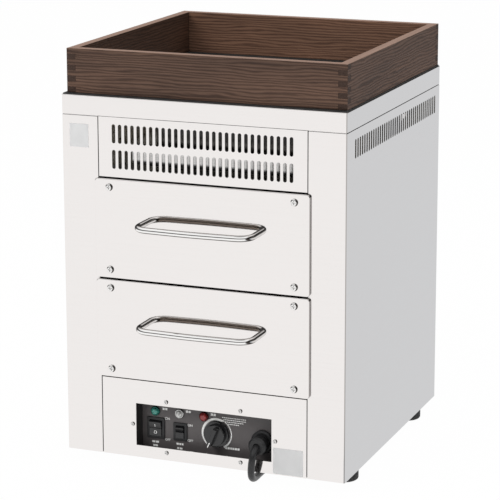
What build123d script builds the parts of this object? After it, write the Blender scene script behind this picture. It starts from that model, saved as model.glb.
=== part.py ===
"""Electric drawer roaster: steel cabinet, two drawers, control panel, wooden keep-warm frame.

Millimetres, +Z up, front towards -Y, floor at Z = 0, the origin under the middle of the object.
"""
from build123d import *
from math import cos, sin, tan, radians, pi, sqrt
import os

os.makedirs("parts", exist_ok=True)

# ---------------------------------------------------------------- driving dimensions
cab_w = 380.0            # cabinet width
cab_d = 385.0            # cabinet depth, back panel included
body_h = 467.0           # cabinet height without feet
foot_h = 15.5            # rubber foot height
sheet = 1.2              # outer sheet thickness
liner = 1.0              # inner sheet thickness
corner_r = 2.0           # bend radius of the cabinet corners
seam = 1.2               # visible gap between neighbouring outer panels
pillar_w = 50.0          # front face of each wrapped corner
lip = 15.0               # folded lips of panels
back_flange = 20.0       # rear flange of each side panel
cap_skirt = 24.6         # height of the top cap skirt
vent_h = 77.6            # height of the vent panel
fascia_h = 103.7         # height of the lower fascia

slot_w = 4.8             # width of every vent slot
front_slot_h = 24.2      # height of the front slots
front_slot_n = 29        # slots in each front row
front_slot_pitch = 8.48
front_slot_edge = 9.6    # from the top of the vent panel to the upper row
front_slot_gap = 8.4     # between the two rows
side_slot_n = 39
side_slot_pitch = 8.7
side_slot_h = 24.2
side_slot_drop = 12.8    # from the cap skirt down to the side slots
side_slot_dy = 4.75      # the side row sits this far behind the middle of the cabinet

front_over = 4.0         # drawer front past the opening, each side
front_proud = 4.0        # drawer front in front of the cabinet face
front_gap = 2.4          # gap between neighbouring drawer fronts
front_r = 4.0            # corner radius of a drawer front
front_t = 1.0            # sheet of a drawer front
truss_d = 9.6            # drawer front screw heads
truss_h = 2.2
truss_inset = 20.0       # screw centre from the side edge of a front
truss_edge = 10.8        # screw centre from the top and bottom edges of a front
truss_shank = 4.0

handle_d = 8.0           # handle rod
handle_pitch = 153.0     # between the two posts
handle_reach = 40.0      # middle of the handle in front of the drawer face
handle_bow = 3.5         # the middle stands this much further out than the ends
handle_r = 18.0          # centre-line bend
handle_up = 10.0         # handle above the middle of the front

box_depth = 300.0        # drawer box behind the cabinet face
box_wall = 52.0          # height of the drawer box wall
box_rise = 15.0          # drawer box above the bottom of its opening
runner_w = 5.0           # runner bar on the drawer box
runner_h = 6.0
slide_gap = 0.3          # running gap of a drawer in its rails
rail_leg = 4.5
rack_up = 22.0           # drawer rack above the box floor
rack_wire = 2.6
rack_frame = 4.0
rack_pitch = 15.0
rack_edge = 6.0          # rack to the box wall
chamber_d = 325.0        # roasting chamber depth
shelf_d = 300.0          # shelf between the drawers
heater_d = 6.5           # sheathed heater
heater_pitch = 70.0
heater_bend = 30.0
heater_front = 25.0      # heater loop behind the cabinet face
heater_stub = 15.0       # heater ends behind the chamber
pad_t = 20.0             # insulation over and behind the chamber

window_w = 185.6         # opening in the fascia
window_h = 56.0
window_low = 15.8        # window edge above the body's lower edge
recess = 20.0            # control plate behind the cabinet face
box_top_gap = 1.8        # recess roof above the window
box_low_gap = 9.6        # recess floor below the window
flange_w = 9.5           # flanges of the control box
plate_t = 1.0            # printed control plate
m3_head = 5.5
m3_head_h = 1.6
m3_shank = 3.0
m3_side = 4.8            # fascia screw beside the window
m3_row_x = 50.8
m3_top_z = 77.6
m3_mid_z = 43.4
m3_low_z = 9.7
fit_hole = 0.25          # clearance round a screw shank

lamp_z = 57.8            # pilot lamps above the body's lower edge
lamp_x = [-74.2, -40.6, -6.8]
lamp_d = 12.6
lens_d = 9.4
lamp_body_d = 10.0
lamp_body_l = 22.0
power_x = -73.6          # power switch centre
power_z = 35.4
power_w = 24.4
power_h = 28.2
fan_sw_x = -39.7         # small switch centre
fan_sw_z = 33.7
fan_sw_w = 19.1
fan_sw_h = 23.8
bezel_t = 2.0            # switch bezel in front of the plate
bezel_rim = 4.0          # bezel frame round the rocker
switch_l = 22.0          # switch body behind the plate
rocker_tilt = 8.0        # rocker angle in either position, degrees
rocker_gap = 0.5         # rocker to its housing
pivot_d = 2.5            # rocker pin
pivot_back = 3.0         # pin behind the bezel face
pivot_fit = 0.05         # radial running fit of pins and shafts
knob_x = 10.5            # timer knob centre
knob_z = 36.9
knob_skirt_d = 36.0
knob_grip_d = 28.0
knob_l = 18.0            # knob in front of the plate
knob_gap = 0.6           # knob to the plate
knob_rest = 22.5         # pointer from straight down, towards the left, degrees
shaft_d = 6.0
timer_w = 30.0
timer_l = 32.0
gland_x = 73.8           # cord gland centre
gland_z = 34.3
gland_flange_d = 30.0
gland_nut_d = 23.6
gland_l = 24.0           # gland in front of the plate
cord_d = 9.0
gland_bore = 8.0         # cord end inside the nut

wood_w = 373.0           # wooden frame, outside
wood_d = 376.0
wood_h = 56.0
wood_t = 12.0
wood_dx = 1.0            # the frame lies a little off centre
wood_dy = 3.0
finger_n = 8
gasket_t = 1.5
gasket_edge = 1.5        # gasket edge inside the steel edge
gasket_w = 20.0
tray_w = 300.0           # warming tray pan
tray_d = 270.0
tray_dy = 12.0
tray_deep = 10.0
tray_flange = 9.0
tray_gap = 0.8           # pan to the cap opening
tray_hole = 9.0
tray_hole_n = 9

foot_d = 38.0
foot_round = 3.0
foot_in_x = 22.0         # foot centre from the side
foot_in_y = 60.0         # foot centre from the front and back
foot_screw_d = 5.0
back_screw_h = 2.2
fan_d = 104.0            # circulation fan
fan_t = 13.0
fan_shaft_d = 5.0
fan_bore = 8.0           # hole in the chamber wall for the fan shaft
motor_d = 62.0
motor_l = 34.0

# ---------------------------------------------------------------- derived places
depth_all = front_proud + handle_reach + cab_d + back_screw_h
y_front = -depth_all / 2 + front_proud + handle_reach     # cabinet face
y_back = y_front + cab_d                                  # outer face of the back panel
z_base = foot_h
z_top = z_base + body_h
z_cap = z_top - cap_skirt
z_vent = z_cap - vent_h
z_fascia = z_base + fascia_h
drawer_pitch = (z_vent - z_fascia) / 2
z_shelf = z_fascia + drawer_pitch
x_side = cab_w / 2
x_open = x_side - pillar_w
x_lip = x_open + seam / 2
x_cham = x_lip - liner                                    # inner face of the chamber wall
y_cham = y_front + chamber_d                              # inner face of the chamber back
y_plate = y_front + recess                                # face of the control plate
z_floor = z_fascia - 5.0                                  # upper face of the chamber floor
z_ceil = z_vent + 4.2                                     # lower face of the chamber roof
front_w = 2 * (x_open + front_over)
front_h = drawer_pitch - front_gap
drawer_z = [z_shelf + drawer_pitch / 2, z_fascia + drawer_pitch / 2]


def face_at(y):
    """Plane parallel to the cabinet face, looking towards -Y, local x and y along X and Z."""
    return Plane(origin=(0, y, 0), x_dir=(1, 0, 0), z_dir=(0, -1, 0))


def side_at(x):
    """Plane parallel to the cabinet side, facing +X, local x and y along Y and Z."""
    return Plane(origin=(x, 0, 0), x_dir=(0, 1, 0), z_dir=(1, 0, 0))


def save(piece, name):
    piece.part.label = name
    export_step(piece.part, "parts/" + name + ".step")


# ---------------------------------------------------------------- side panels with wrapped corners
def wrap_points(sign, off):
    xo = x_side - off
    yf = y_front + off
    yb = y_back - sheet
    pts = [
        (x_lip, y_front + lip), (x_lip, yf), (xo, yf), (xo, yb),
        (xo - back_flange, yb), (xo - back_flange, yb - sheet), (xo - sheet, yb - sheet),
        (xo - sheet, yf + sheet), (x_lip + sheet, yf + sheet), (x_lip + sheet, y_front + lip),
    ]
    return [(sign * x, y) for x, y in pts]


back_screw_x = x_side - back_flange / 2
back_screw_z = [z_base + 30, z_base + 150, z_base + 280, z_cap - 30]
side_slot_y = (y_front + y_back) / 2 + side_slot_dy
side_slot_z = z_cap - side_slot_drop - side_slot_h / 2

for sign, name in ((-1, "side_panel_left"), (1, "side_panel_right")):
    with BuildPart() as side_panel:
        with BuildSketch(Plane.XY.offset(z_base)):
            with BuildLine():
                Polyline(wrap_points(sign, 0), close=True)
            make_face()
            corner = 1 if sign > 0 else 0
            far = -1 if corner else 0
            fillet(vertices().group_by(Axis.X)[far].group_by(Axis.Y)[0], radius=corner_r)
        extrude(amount=z_cap - seam - z_base)
        with BuildSketch(Plane.XY.offset(z_cap - 4)):
            with BuildLine():
                Polyline(wrap_points(sign, sheet), close=True)
            make_face()
        extrude(amount=z_top - sheet - (z_cap - 4))
        with BuildSketch(side_at(sign * x_side)):
            with Locations((side_slot_y, side_slot_z)):
                with GridLocations(side_slot_pitch, 1, side_slot_n, 1):
                    SlotOverall(side_slot_h, slot_w, rotation=90)
        extrude(amount=3 * sheet, both=True, mode=Mode.SUBTRACT)
        with BuildSketch(face_at(y_back)):
            for z in back_screw_z:
                with Locations((sign * back_screw_x, z)):
                    Circle(m3_shank / 2 + fit_hole)
        extrude(amount=3 * sheet, mode=Mode.SUBTRACT)
    save(side_panel, name)

# ---------------------------------------------------------------- back panel, base, cap
back_slot_n = 20
with BuildPart() as back_panel:
    with BuildSketch(face_at(y_back)):
        with Locations((0, (z_base + z_cap - seam) / 2)):
            Rectangle(cab_w - 2, z_cap - seam - z_base)
        for sign in (-1, 1):
            for z in back_screw_z:
                with Locations((sign * back_screw_x, z)):
                    Circle(m3_shank / 2 + fit_hole, mode=Mode.SUBTRACT)
        for z in (z_shelf, z_vent + vent_h / 2):
            with Locations((0, z)):
                with GridLocations(side_slot_pitch, 1, back_slot_n, 1):
                    SlotOverall(side_slot_h, slot_w, rotation=90, mode=Mode.SUBTRACT)
    extrude(amount=sheet)
save(back_panel, "back_panel")

base_w = cab_w - 2 * sheet
base_y0 = y_front + sheet
base_y1 = y_back - 2 * sheet
feet_at = [
    (sx * (x_side - foot_in_x), y)
    for sx in (-1, 1)
    for y in (y_front + foot_in_y, y_back - foot_in_y)
]
with BuildPart() as base_plate:
    with BuildSketch(Plane.XY.offset(z_base)):
        with Locations((0, (base_y0 + base_y1) / 2)):
            Rectangle(base_w, base_y1 - base_y0)
    extrude(amount=sheet)
    for sign in (-1, 1):
        with BuildSketch(Plane.XY.offset(z_base)):
            with Locations((sign * (base_w / 2 - sheet / 2), (base_y0 + base_y1) / 2)):
                Rectangle(sheet, base_y1 - base_y0 - 2 * corner_r)
        extrude(amount=lip)
    with BuildSketch(Plane.XY.offset(z_base)):
        with Locations(*feet_at):
            Circle(foot_screw_d / 2 + fit_hole)
        for sign in (-1, 1):
            with Locations((sign * x_open, y_front + lip / 2)):
                Rectangle(2 * sheet + 2 * seam, lip + seam)
    extrude(amount=sheet, mode=Mode.SUBTRACT)
save(base_plate, "base_plate")

tray_open_w = tray_w + 2 * tray_gap
tray_open_d = tray_d + 2 * tray_gap
with BuildPart() as top_cap:
    with BuildSketch(Plane.XY.offset(z_cap)):
        with Locations((0, (y_front + y_back) / 2)):
            Rectangle(cab_w, cab_d)
        fillet(vertices(), radius=corner_r)
    extrude(amount=cap_skirt)
    with BuildSketch(Plane.XY.offset(z_cap)):
        with Locations((0, (y_front + y_back) / 2)):
            Rectangle(cab_w - 2 * sheet, cab_d - 2 * sheet)
    extrude(amount=cap_skirt - sheet, mode=Mode.SUBTRACT)
    fillet(edges().group_by(Axis.Z)[-1], radius=sheet / 2)
    with BuildSketch(Plane.XY.offset(z_top)):
        with Locations((0, tray_dy + (y_front + y_back) / 2)):
            Rectangle(tray_open_w, tray_open_d)
    extrude(amount=-2 * sheet, mode=Mode.SUBTRACT)
save(top_cap, "top_cap")

# ---------------------------------------------------------------- vent panel and the duct behind it
panel_w = 2 * (x_open - seam / 2)
row_z = [
    z_cap - front_slot_edge - front_slot_h / 2,
    z_cap - front_slot_edge - front_slot_h * 1.5 - front_slot_gap,
]
with BuildPart() as vent_panel:
    with BuildSketch(face_at(y_front + lip)):
        with Locations((0, (z_vent + z_cap) / 2)):
            Rectangle(panel_w, vent_h - seam)
    extrude(amount=lip)
    with BuildSketch(face_at(y_front + lip)):
        with Locations((0, (z_vent + z_cap) / 2)):
            Rectangle(panel_w - 2 * sheet, vent_h - seam - 2 * sheet)
    extrude(amount=lip - sheet, mode=Mode.SUBTRACT)
    with BuildSketch(face_at(y_front)):
        for z in row_z:
            with Locations((0, z)):
                with GridLocations(front_slot_pitch, 1, front_slot_n, 1):
                    SlotOverall(front_slot_h, slot_w, rotation=90)
    extrude(amount=-2 * sheet, mode=Mode.SUBTRACT)
save(vent_panel, "vent_panel")

duct_front = 20.0        # lower duct wall behind the cabinet face
duct_rear = 40.0         # upper duct wall
duct_low_x = -102.0
duct_high_x = -77.0
duct_right = 122.0
z_duct_low = z_vent + 14.5
z_duct_step = z_vent + 37.5
with BuildPart() as vent_duct:
    with BuildSketch(face_at(y_front + duct_front + liner)):
        with Locations(((duct_low_x + duct_right) / 2, (z_duct_low + z_duct_step) / 2)):
            Rectangle(duct_right - duct_low_x, z_duct_step - z_duct_low)
    extrude(amount=liner)
    with BuildSketch(Plane.XY.offset(z_duct_step - liner)):
        with Locations(((duct_low_x + duct_right) / 2, y_front + (duct_front + duct_rear + liner) / 2)):
            Rectangle(duct_right - duct_low_x, duct_rear - duct_front + liner)
    extrude(amount=liner)
    with BuildSketch(face_at(y_front + duct_rear + liner)):
        with Locations(((duct_high_x + duct_right) / 2, (z_duct_step - liner + z_top - sheet) / 2)):
            Rectangle(duct_right - duct_high_x, z_top - sheet - z_duct_step + liner)
    extrude(amount=liner)
    with BuildSketch(Plane.XY.offset(z_top - sheet - liner)):
        with Locations(((duct_high_x + duct_right) / 2, y_front + duct_rear - lip / 2 + liner)):
            Rectangle(duct_right - duct_high_x, lip)
    extrude(amount=liner)
    with BuildSketch(Plane.XY.offset(z_duct_low)):
        with Locations(((duct_low_x + duct_right) / 2, y_front + duct_front + lip / 2)):
            Rectangle(duct_right - duct_low_x, lip)
    extrude(amount=liner)
save(vent_duct, "vent_duct")

# ---------------------------------------------------------------- fascia and control box
z_win = z_base + window_low + window_h / 2
m3_side_x = window_w / 2 + m3_side
m3_at = [(sx * m3_row_x, z_base + z) for sx in (-1, 1) for z in (m3_low_z, m3_top_z)]
m3_at += [(sx * m3_side_x, z_base + m3_mid_z) for sx in (-1, 1)]
with BuildPart() as fascia:
    with BuildSketch(face_at(y_front + lip)):
        with Locations((0, z_base + (fascia_h - seam) / 2)):
            Rectangle(panel_w, fascia_h - seam)
    extrude(amount=lip)
    with BuildSketch(face_at(y_front + lip)):
        with Locations((0, z_base + (fascia_h - seam - sheet) / 2)):
            Rectangle(panel_w - 2 * sheet, fascia_h - seam - sheet)
    extrude(amount=lip - sheet, mode=Mode.SUBTRACT)
    with BuildSketch(face_at(y_front)):
        with Locations((0, z_win)):
            Rectangle(window_w, window_h)
        with Locations(*m3_at):
            Circle(m3_shank / 2 + fit_hole)
    extrude(amount=-sheet, mode=Mode.SUBTRACT)
save(fascia, "fascia")

z_box_top = z_base + window_low + window_h + box_top_gap
z_box_low = z_base + window_low - box_low_gap
box_in_h = z_box_top - z_box_low
z_box = (z_box_top + z_box_low) / 2
y_flange = y_front + sheet
y_box_back = y_plate + plate_t + liner
with BuildPart() as control_box:
    with BuildSketch(face_at(y_box_back)):
        with Locations((0, z_box)):
            Rectangle(window_w + 2 * liner, box_in_h + 2 * liner)
    extrude(amount=y_box_back - y_flange)
    with BuildSketch(face_at(y_flange)):
        with Locations((0, z_base + window_low + window_h + flange_w / 2)):
            Rectangle(window_w + 2 * liner, flange_w)
        with Locations((0, (z_box_low + z_base + window_low) / 2)):
            Rectangle(window_w + 2 * liner, z_base + window_low - z_box_low)
        for sign in (-1, 1):
            with Locations((sign * (window_w / 2 + flange_w / 2), z_win)):
                Rectangle(flange_w, window_h)
    extrude(amount=-liner)
    with BuildSketch(face_at(y_plate + plate_t)):
        with Locations((0, z_box)):
            Rectangle(window_w, box_in_h)
    extrude(amount=y_plate + plate_t - y_flange - liner, mode=Mode.SUBTRACT)
    with BuildSketch(face_at(y_flange)):
        with Locations((0, z_win)):
            Rectangle(window_w, window_h)
    extrude(amount=-liner, mode=Mode.SUBTRACT)
    with BuildSketch(face_at(y_flange)):
        with Locations(*m3_at):
            Circle(m3_shank / 2 + fit_hole)
    extrude(amount=-liner, mode=Mode.SUBTRACT)
    with BuildSketch(face_at(y_plate + plate_t)):
        with Locations(*[(x, z_base + lamp_z) for x in lamp_x]):
            Circle(lamp_body_d / 2 + fit_hole)
        with Locations((power_x, z_base + power_z)):
            Rectangle(power_w - bezel_rim + 0.6, power_h - bezel_rim + 0.6)
        with Locations((fan_sw_x, z_base + fan_sw_z)):
            Rectangle(fan_sw_w - bezel_rim + 0.6, fan_sw_h - bezel_rim + 0.6)
        with Locations((knob_x, z_base + knob_z)):
            Circle(shaft_d / 2 + 2)
        with Locations((gland_x, z_base + gland_z)):
            Circle(gland_nut_d / 2 - 3 + fit_hole)
    extrude(amount=-liner, mode=Mode.SUBTRACT)
save(control_box, "control_box")

with BuildPart() as control_plate:
    with BuildSketch(face_at(y_plate)):
        with Locations((0, z_box)):
            Rectangle(window_w, box_in_h)
        with Locations(*[(x, z_base + lamp_z) for x in lamp_x]):
            Circle(lamp_body_d / 2 + fit_hole, mode=Mode.SUBTRACT)
        with Locations((power_x, z_base + power_z)):
            Rectangle(power_w - bezel_rim + 0.6, power_h - bezel_rim + 0.6, mode=Mode.SUBTRACT)
        with Locations((fan_sw_x, z_base + fan_sw_z)):
            Rectangle(fan_sw_w - bezel_rim + 0.6, fan_sw_h - bezel_rim + 0.6, mode=Mode.SUBTRACT)
        with Locations((knob_x, z_base + knob_z)):
            Circle(shaft_d / 2 + 2, mode=Mode.SUBTRACT)
        with Locations((gland_x, z_base + gland_z)):
            Circle(gland_nut_d / 2 - 3 + fit_hole, mode=Mode.SUBTRACT)
    extrude(amount=-plate_t)
save(control_plate, "control_plate")

with BuildPart() as fascia_screws:
    for x, z in m3_at:
        with BuildSketch(face_at(y_front)):
            with Locations((x, z)):
                Circle(m3_head / 2)
        extrude(amount=m3_head_h)
        with BuildSketch(face_at(y_front)):
            with Locations((x, z)):
                Circle(m3_shank / 2)
        extrude(amount=-6)
    fillet(faces().filter_by(Axis.Y).group_by(Axis.Y)[0].edges(), radius=m3_head_h * 0.6)
    with BuildSketch(face_at(y_front - m3_head_h)):
        for x, z in m3_at:
            with Locations((x, z)):
                Rectangle(m3_head * 0.6, 0.7)
                Rectangle(0.7, m3_head * 0.6)
    extrude(amount=-m3_head_h * 0.5, mode=Mode.SUBTRACT)
save(fascia_screws, "fascia_screws")

with BuildPart() as back_screws:
    for sign in (-1, 1):
        for z in back_screw_z:
            with BuildSketch(face_at(y_back)):
                with Locations((sign * back_screw_x, z)):
                    Circle(m3_head / 2 + 1)
            extrude(amount=-back_screw_h)
            with BuildSketch(face_at(y_back)):
                with Locations((sign * back_screw_x, z)):
                    Circle(m3_shank / 2)
            extrude(amount=6)
    fillet(faces().filter_by(Axis.Y).group_by(Axis.Y)[-1].edges(), radius=back_screw_h * 0.6)
save(back_screws, "back_screws")

# ---------------------------------------------------------------- pilot lamps
for x, name in zip(lamp_x, ("lamp_green", "lamp_clear", "lamp_red")):
    with BuildPart() as lamp:
        with BuildSketch(face_at(y_plate)):
            with Locations((x, z_base + lamp_z)):
                Circle(lens_d / 2)
        extrude(amount=5)
        fillet(faces().group_by(Axis.Y)[0].edges(), radius=2.6)
    save(lamp, name)

with BuildPart() as lamp_bezels:
    for x in lamp_x:
        with BuildSketch(face_at(y_plate)):
            with Locations((x, z_base + lamp_z)):
                Circle(lamp_d / 2)
                Circle(lens_d / 2 + 0.1, mode=Mode.SUBTRACT)
        extrude(amount=2.4)
        with BuildSketch(face_at(y_plate)):
            with Locations((x, z_base + lamp_z)):
                Circle(lamp_body_d / 2)
        extrude(amount=-lamp_body_l)
    chamfer(faces().group_by(Axis.Y)[0].edges().filter_by(lambda e: e.radius > lens_d / 2 + 0.5), 0.8)
save(lamp_bezels, "lamp_bezels")


# ---------------------------------------------------------------- rocker switches
def switch_pair(x, z, w, h, body_name, rocker_name):
    y_face = y_plate - bezel_t
    y_pin = y_face + pivot_back
    in_w = w - 2 * bezel_rim
    in_h = h - 2 * bezel_rim
    with BuildPart() as housing:
        with BuildSketch(face_at(y_plate)):
            with Locations((x, z)):
                Rectangle(w, h)
            fillet(vertices(), radius=1.2)
        extrude(amount=bezel_t)
        fillet(faces().group_by(Axis.Y)[0].edges(), radius=0.7)
        with BuildSketch(face_at(y_plate)):
            with Locations((x, z)):
                Rectangle(w - bezel_rim, h - bezel_rim)
        extrude(amount=-switch_l)
        with BuildSketch(face_at(y_face)):
            with Locations((x, z)):
                Rectangle(in_w + 2 * rocker_gap, in_h + 2 * rocker_gap)
        extrude(amount=-10, mode=Mode.SUBTRACT)
        with Locations(Plane(origin=(x, y_pin, z), z_dir=(1, 0, 0))):
            Cylinder(pivot_d / 2 + pivot_fit, in_w + 2 * rocker_gap + 3, mode=Mode.SUBTRACT)
        for dx in (-w / 5, w / 5):
            with BuildSketch(face_at(y_plate + switch_l)):
                with Locations((x + dx, z)):
                    Rectangle(0.8, 6)
            extrude(amount=-8)
    save(housing, body_name)
    dip = 1.2
    rise = 2.6
    side = Plane(origin=(x - in_w / 2, y_pin, z), x_dir=(0, 1, 0), z_dir=(1, 0, 0))
    tilt = side.rotated((rocker_tilt, 0, 0))
    edge = in_h / 2
    nose = edge - 0.6
    with BuildPart() as rocker:
        with BuildSketch(tilt):
            with BuildLine():
                Polyline(
                    (-pivot_back - rise, nose), (-pivot_back - dip, 0), (-pivot_back - rise, -nose),
                    (0.5, -edge), (3.5, -edge * 0.4), (3.5, edge * 0.4), (0.5, edge), close=True,
                )
            make_face()
        extrude(amount=in_w)
        with Locations(Plane(origin=(x, y_pin, z), z_dir=(1, 0, 0))):
            Cylinder(pivot_d / 2, in_w + 2 * rocker_gap + 2.4)
    save(rocker, rocker_name)


switch_pair(power_x, z_base + power_z, power_w, power_h, "power_switch", "power_rocker")
switch_pair(fan_sw_x, z_base + fan_sw_z, fan_sw_w, fan_sw_h, "fan_switch", "fan_rocker")

# ---------------------------------------------------------------- timer and knob
z_knob = z_base + knob_z
with BuildPart() as timer_body:
    with BuildSketch(face_at(y_box_back)):
        with Locations((knob_x, z_knob)):
            Rectangle(timer_w, timer_w)
        fillet(vertices(), radius=4)
    extrude(amount=-timer_l)
    with BuildSketch(face_at(y_box_back)):
        with Locations((knob_x, z_knob)):
            Circle(shaft_d / 2 + 1.7)
    extrude(amount=liner + plate_t * 0.5)
    with BuildSketch(face_at(y_plate)):
        with Locations((knob_x, z_knob)):
            Circle(shaft_d / 2 + pivot_fit)
    extrude(amount=-(plate_t + liner + 14), mode=Mode.SUBTRACT)
save(timer_body, "timer_body")

# the pointer plane turns with the rest angle of the knob
aim = Plane(
    origin=(knob_x, y_plate - knob_gap, z_knob),
    x_dir=(cos(radians(knob_rest)), 0, -sin(radians(knob_rest))),
    z_dir=(0, -1, 0),
)
ridge_w = 7.0
with BuildPart() as timer_knob:
    with BuildSketch(aim):
        Circle(knob_skirt_d / 2)
    extrude(amount=3.4, taper=20)
    with BuildSketch(aim.offset(3.0)):
        Circle(knob_grip_d / 2)
    extrude(amount=6.5, taper=6)
    with BuildSketch(aim.offset(3.0)):
        with BuildLine():
            Polyline(
                (-ridge_w / 2, knob_grip_d / 2 - 1.5), (ridge_w / 2, knob_grip_d / 2 - 1.5),
                (ridge_w / 2, -knob_grip_d / 2 + 2), (0, -knob_skirt_d / 2 + 0.8),
                (-ridge_w / 2, -knob_grip_d / 2 + 2), close=True,
            )
        make_face()
    extrude(amount=knob_l - knob_gap - 3.0, taper=4)
    fillet(faces().group_by(Axis.Y)[0].edges(), radius=0.8)
    with BuildSketch(aim):
        Circle(shaft_d / 2)
    extrude(amount=-(knob_gap + plate_t + liner + 12))
save(timer_knob, "timer_knob")

# ---------------------------------------------------------------- cord gland
z_gland = z_base + gland_z
y_gland = y_plate - gland_l
with BuildPart() as cord_gland:
    with BuildSketch(Plane(origin=(gland_x, y_plate, z_gland), x_dir=(0, -1, 0), z_dir=(1, 0, 0))):
        with BuildLine():
            Polyline(
                (-14, 0), (-14, gland_nut_d / 2 - 3), (0, gland_nut_d / 2 - 3),
                (0, gland_flange_d / 2), (4, gland_flange_d / 2), (5.5, gland_flange_d / 2 - 2),
                (5.5, gland_nut_d / 2 - 1.5), (9, gland_nut_d / 2 - 1.5), (9, gland_nut_d / 2),
                (gland_l - 3, gland_nut_d / 2), (gland_l, gland_nut_d / 2 - 2.4), (gland_l, 0), close=True,
            )
        make_face()
    revolve(axis=Axis((gland_x, y_plate, z_gland), (0, -1, 0)), revolution_arc=360)
    with BuildSketch(face_at(y_gland)):
        with Locations((gland_x, z_gland)):
            Circle(cord_d / 2 + 0.15)
    extrude(amount=-gland_bore, mode=Mode.SUBTRACT)
save(cord_gland, "cord_gland")

# ---------------------------------------------------------------- roasting chamber
wall_y0 = y_front + sheet + 0.3
wall_y1 = y_cham + liner
for sign, name in ((-1, "chamber_left"), (1, "chamber_right")):
    with BuildPart() as chamber_wall:
        with BuildSketch(side_at(sign * (x_cham + liner / 2))):
            with Locations(((wall_y0 + lip + wall_y1) / 2, (z_floor - liner + z_ceil + liner) / 2)):
                Rectangle(wall_y1 - wall_y0 - lip, z_ceil - z_floor + 2 * liner)
        extrude(amount=liner / 2, both=True)
    save(chamber_wall, name)

with BuildPart() as chamber_floor:
    with BuildSketch(Plane.XY.offset(z_floor - liner)):
        with Locations((0, (y_front + lip + 0.4 + y_cham) / 2)):
            Rectangle(2 * x_cham, y_cham - y_front - lip - 0.4)
    extrude(amount=liner)
save(chamber_floor, "chamber_floor")

with BuildPart() as chamber_roof:
    with BuildSketch(Plane.XY.offset(z_ceil)):
        with Locations((0, (y_front + lip + 0.4 + y_cham) / 2)):
            Rectangle(2 * x_cham, y_cham - y_front - lip - 0.4)
    extrude(amount=liner)
save(chamber_roof, "chamber_roof")

shelf_y0 = y_front + lip + 0.4
with BuildPart() as mid_shelf:
    with BuildSketch(Plane.XY.offset(z_shelf - liner)):
        with Locations((0, (shelf_y0 + y_front + shelf_d) / 2)):
            Rectangle(2 * x_cham, y_front + shelf_d - shelf_y0)
    extrude(amount=liner)
    with BuildSketch(Plane.XY.offset(z_shelf - 8)):
        with Locations((0, shelf_y0 + liner / 2)):
            Rectangle(2 * x_cham, liner)
    extrude(amount=8)
save(mid_shelf, "mid_shelf")

heater_z = [z_ceil - heater_d / 2 - 3, z_shelf - liner - heater_d / 2 - 3, z_floor + heater_d / 2 + 2]
heater_x = 1.5 * heater_pitch
with BuildPart() as chamber_back:
    with BuildSketch(face_at(y_cham)):
        with Locations((0, (z_floor + z_ceil) / 2)):
            Rectangle(2 * x_cham, z_ceil - z_floor + 2 * liner)
        for z in heater_z:
            with Locations((-heater_x, z), (heater_x, z)):
                Circle(heater_d / 2 + 0.3, mode=Mode.SUBTRACT)
        with Locations((0, z_shelf)):
            Circle(fan_bore / 2, mode=Mode.SUBTRACT)
    extrude(amount=-liner)
save(chamber_back, "chamber_back")

for z, name in zip(heater_z, ("heater_upper", "heater_middle", "heater_lower")):
    y0 = y_front + heater_front
    y1 = y_cham + heater_stub
    y2 = y_front + shelf_d - 20
    a = heater_x
    b = heater_pitch / 2
    with BuildPart() as heater:
        with BuildLine():
            FilletPolyline(
                (-a, y1, z), (-a, y0, z), (-b, y0, z), (-b, y2, z), (b, y2, z), (b, y0, z), (a, y0, z),
                (a, y1, z), radius=heater_bend,
            )
        with BuildSketch(Plane(origin=(-a, y1, z), z_dir=(0, -1, 0))):
            Circle(heater_d / 2)
        sweep()
        for x in (-a, a):
            with Locations(Plane(origin=(x, y1 + 4, z), z_dir=(0, 1, 0))):
                Cylinder(heater_d / 2 - 1.2, 8)
    save(heater, name)

# ---------------------------------------------------------------- insulation
pad_y0 = y_front + lip + 1
pad_z0 = z_floor - liner
pad_z1 = z_ceil + liner
with BuildPart() as insulation:
    for sign in (-1, 1):
        with BuildSketch(Plane.XY.offset(pad_z0)):
            xa = x_cham + liner
            xb = x_side - sheet
            with Locations((sign * (xa + xb) / 2, (pad_y0 + y_cham) / 2)):
                Rectangle(xb - xa, y_cham - pad_y0)
        extrude(amount=pad_z1 - pad_z0)
    with BuildSketch(face_at(y_cham + liner)):
        with Locations((0, (pad_z0 + pad_z1) / 2)):
            Rectangle(2 * x_cham - 4, pad_z1 - pad_z0)
        for z in heater_z:
            with Locations((-heater_x, z), (heater_x, z)):
                Circle(heater_d / 2 + 1, mode=Mode.SUBTRACT)
        with Locations((0, z_shelf)):
            Circle(motor_d / 2 + 2, mode=Mode.SUBTRACT)
    extrude(amount=-pad_t)
    with BuildSketch(Plane.XY.offset(z_ceil + liner)):
        with Locations((0, (y_front + duct_rear + 20 + y_cham) / 2)):
            Rectangle(2 * x_cham, y_cham - y_front - duct_rear - 20)
    extrude(amount=pad_t)
save(insulation, "insulation")

# ---------------------------------------------------------------- circulation fan
y_rotor = y_cham - 5
with BuildPart() as fan_motor:
    with BuildSketch(face_at(y_cham + liner)):
        with Locations((0, z_shelf)):
            Circle(motor_d / 2)
    extrude(amount=-motor_l)
    fillet(faces().group_by(Axis.Y)[-1].edges(), radius=4)
    with BuildSketch(face_at(y_cham + liner)):
        with Locations((0, z_shelf)):
            Circle(fan_shaft_d / 2 + pivot_fit)
    extrude(amount=-20, mode=Mode.SUBTRACT)
save(fan_motor, "fan_motor")

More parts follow.
